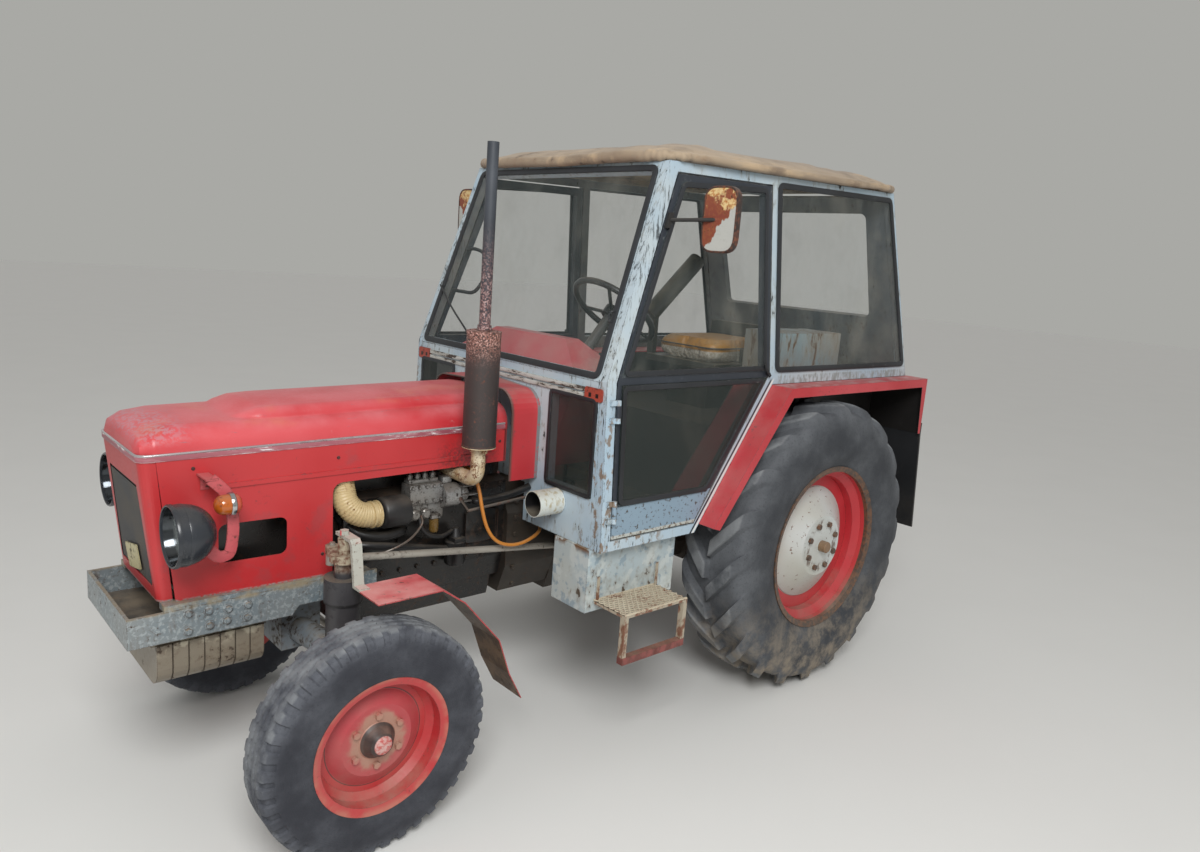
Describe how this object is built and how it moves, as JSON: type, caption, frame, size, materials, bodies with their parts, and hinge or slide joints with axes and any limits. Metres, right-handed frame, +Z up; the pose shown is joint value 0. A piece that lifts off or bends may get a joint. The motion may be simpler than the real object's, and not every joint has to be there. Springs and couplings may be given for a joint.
{
  "type": "vintage tractor with cab",
  "caption": "Two-wheel-drive farm tractor: long bonnet, side exhaust, boxed cab with canvas roof, bumper tray with slab weights, front steering and rear three-point linkage.",
  "frame": {"origin": "on the ground, in the middle of the machine's length and width", "axes": "+X forwards, +Y to the machine's left, +Z up"},
  "size_m": [3.642, 1.75, 2.3931],
  "materials": {
    "red_paint": "worn satin",
    "cab_paint": "peeling satin",
    "grey_paint": "worn satin",
    "black_metal": "oily",
    "galvanised": "galvanised, weathered",
    "steel": "worn",
    "rusty_steel": "rusty",
    "cast_grey": "dusty",
    "weight_paint": "chalky",
    "tyre": "worn rubber",
    "rubber": "matt",
    "black_plastic": "matt",
    "pane": "clear",
    "roof_canvas": "weathered canvas",
    "seat_foam": "worn"
  },
  "bodies": {
    "chassis": {"transmission": "cast_grey", "engine": "black_metal", "engine_fittings": "steel", "air_intake": "black_metal", "radiator": "black_metal", "front_frame": "galvanised", "front_weights": "weight_paint", "front_axle": "grey_paint", "grille_housing": "red_paint", "grille": "black_metal", "side_panels": "red_paint", "exhaust": "rusty_steel", "headlamps": "black_plastic", "cowl": "red_paint", "steering_column": "black_plastic", "cab_sides": "cab_paint", "cab_front": "cab_paint", "cab_rear": "cab_paint", "roof_cover": "roof_canvas", "windshield": "pane", "front_panes": "pane", "quarter_panes": "pane", "rear_pane": "pane", "cab_floor": "grey_paint", "seat_base": "black_metal", "seat_cushion": "seat_foam", "rear_locker": "grey_paint", "rear_wings": "red_paint", "mud_flaps": "rubber", "step_boxes": "cab_paint", "drawbar": "black_metal"},
    "hood": {"hood": "red_paint"},
    "door_left": {"door_left": "cab_paint", "door_glass_left": "pane", "mirror_left": "rusty_steel"},
    "door_right": {"door_right": "cab_paint", "door_glass_right": "pane", "mirror_right": "rusty_steel"},
    "steering_wheel": {"steering_wheel": "black_plastic"},
    "drop_arm": {"drop_arm_link": "steel"},
    "drag_link": {"drag_link": "steel"},
    "tie_rod": {"tie_rod": "steel"},
    "knuckle_left": {"knuckle_left": "grey_paint", "front_fender_left": "red_paint"},
    "knuckle_right": {"knuckle_right": "grey_paint", "front_fender_right": "red_paint"},
    "wheel_front_left": {"front_rim_left": "red_paint", "front_tyre_left": "tyre"},
    "wheel_front_right": {"front_rim_right": "red_paint", "front_tyre_right": "tyre"},
    "wheel_rear_left": {"rear_rim_left": "red_paint", "rear_tyre_left": "tyre"},
    "wheel_rear_right": {"rear_rim_right": "red_paint", "rear_tyre_right": "tyre"},
    "lower_links": {"lower_links": "black_metal"},
    "lift_arms": {"lift_arms": "black_metal"},
    "lift_rods": {"lift_rods": "steel"}
  },
  "joints": [
    {"name": "hood_hinge", "type": "hinge", "parent": "chassis", "child": "hood", "pos_m": [1.773, 0, 1.222], "axis": [0, 1, 0], "range_deg": [0, 60]},
    {"name": "door_left_hinge", "type": "hinge", "parent": "chassis", "child": "door_left", "pos_m": [0.316, 0.68599, 0.84651], "axis": [0, 0.0506, -0.9987], "range_deg": [0, 70]},
    {"name": "door_right_hinge", "type": "hinge", "parent": "chassis", "child": "door_right", "pos_m": [0.316, -0.68599, 0.84651], "axis": [0, 0.0506, 0.9987], "range_deg": [0, 70]},
    {"name": "steer_left", "type": "hinge", "parent": "chassis", "child": "knuckle_left", "pos_m": [1.234, 0.415, 0.6], "axis": [0, 0, 1], "range_deg": [-35, 35]},
    {"name": "steer_right", "type": "hinge", "parent": "chassis", "child": "knuckle_right", "pos_m": [1.234, -0.415, 0.6], "axis": [0, 0, 1], "range_deg": [-35, 35]},
    {"name": "wheel_front_left_spin", "type": "hinge", "parent": "knuckle_left", "child": "wheel_front_left", "pos_m": [1.234, 0.628, 0.37763], "axis": [0, 0.9994, -0.0349], "continuous": true},
    {"name": "wheel_front_right_spin", "type": "hinge", "parent": "knuckle_right", "child": "wheel_front_right", "pos_m": [1.234, -0.628, 0.37763], "axis": [0, 0.9994, 0.0349], "continuous": true},
    {"name": "wheel_rear_left_spin", "type": "hinge", "parent": "chassis", "child": "wheel_rear_left", "pos_m": [-0.936, 0.636, 0.664], "axis": [0, 1, 0], "continuous": true},
    {"name": "wheel_rear_right_spin", "type": "hinge", "parent": "chassis", "child": "wheel_rear_right", "pos_m": [-0.936, -0.636, 0.664], "axis": [0, 1, 0], "continuous": true},
    {"name": "tie_rod_joint", "type": "hinge", "parent": "knuckle_left", "child": "tie_rod", "pos_m": [1.074, 0.415, 0.452], "axis": [0, 0, 1], "range_deg": [-36, 36]},
    {"name": "drag_link_joint", "type": "hinge", "parent": "knuckle_left", "child": "drag_link", "pos_m": [1.234, 0.33, 0.86], "axis": [0, 0, 1], "range_deg": [-36, 36]},
    {"name": "drop_arm_joint", "type": "hinge", "parent": "chassis", "child": "drop_arm", "pos_m": [0.164, 0.211, 0.82], "axis": [0, 1, 0], "range_deg": [-26, 26]},
    {"name": "steering_wheel_spin", "type": "hinge", "parent": "chassis", "child": "steering_wheel", "pos_m": [-0.236, 0, 1.655], "axis": [-0.6444, 0, 0.7647], "range_deg": [-424, 424]},
    {"name": "lower_link_lift", "type": "hinge", "parent": "chassis", "child": "lower_links", "pos_m": [-1.106, 0, 0.47], "axis": [0, 1, 0], "range_deg": [-15, 25]},
    {"name": "lift_arm_joint", "type": "hinge", "parent": "chassis", "child": "lift_arms", "pos_m": [-1.106, 0, 0.768], "axis": [0, 1, 0], "range_deg": [-16, 26]},
    {"name": "lift_rod_joint", "type": "hinge", "parent": "lift_arms", "child": "lift_rods", "pos_m": [-1.406, 0, 0.768], "axis": [0, 1, 0], "range_deg": [-26, 16]}
  ],
  "couplings": [
    {"joint": "steer_right", "follows": "steer_left", "ratio": 1},
    {"joint": "tie_rod_joint", "follows": "steer_left", "ratio": -1},
    {"joint": "drag_link_joint", "follows": "steer_left", "ratio": -1},
    {"joint": "drop_arm_joint", "follows": "steer_left", "ratio": -0.7083},
    {"joint": "steering_wheel_spin", "follows": "steer_left", "ratio": 12},
    {"joint": "lift_arm_joint", "follows": "lower_link_lift", "ratio": 1},
    {"joint": "lift_rod_joint", "follows": "lower_link_lift", "ratio": -1}
  ]
}
